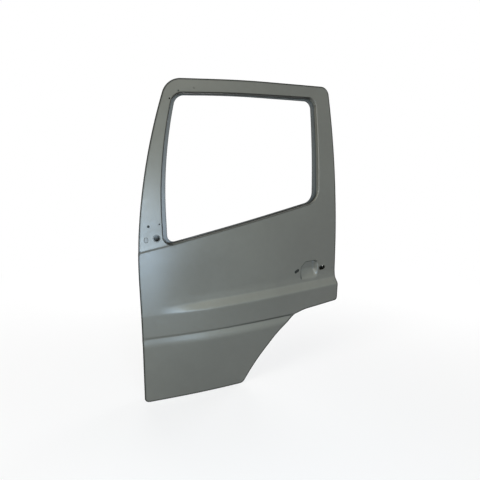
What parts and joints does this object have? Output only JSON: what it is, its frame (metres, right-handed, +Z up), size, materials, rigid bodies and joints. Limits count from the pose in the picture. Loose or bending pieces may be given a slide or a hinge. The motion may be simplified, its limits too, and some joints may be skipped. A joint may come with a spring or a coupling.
{
  "type": "truck cab door shell",
  "caption": "Left-hand truck cab door shell in primed sheet steel: curved outer skin with window opening, pressed shelf and wheel-arch cut, deep inner panel, window frame, belt rails and reinforcements.",
  "frame": {"origin": "on the hinge face, the flat front wall of the door, midway between the two hinges", "axes": "+X rearward along the door, +Y inboard through its thickness, +Z up; the outer skin faces -Y"},
  "size_m": [1.0555, 0.1956, 1.4728],
  "materials": {
    "outer_primer": "satin grey-green electrocoat primer",
    "inner_primer": "satin grey-green electrocoat primer",
    "primed_steel": "satin dark grey electrocoat primer"
  },
  "bodies": {
    "root": {"outer_skin": "outer_primer", "inner_panel": "inner_primer", "window_frame": "inner_primer", "outer_belt_rail": "primed_steel", "inner_belt_rail": "primed_steel", "skin_brace": "primed_steel", "intrusion_beam": "primed_steel", "beam_bracket_front": "primed_steel", "beam_bracket_rear": "primed_steel", "hinge_plate_upper": "primed_steel", "hinge_plate_lower": "primed_steel", "check_plate": "primed_steel", "latch_plate": "primed_steel", "handle_plate": "primed_steel", "mirror_plate": "primed_steel", "glass_guide_front": "primed_steel", "glass_guide_rear": "primed_steel"}
  },
  "joints": []
}
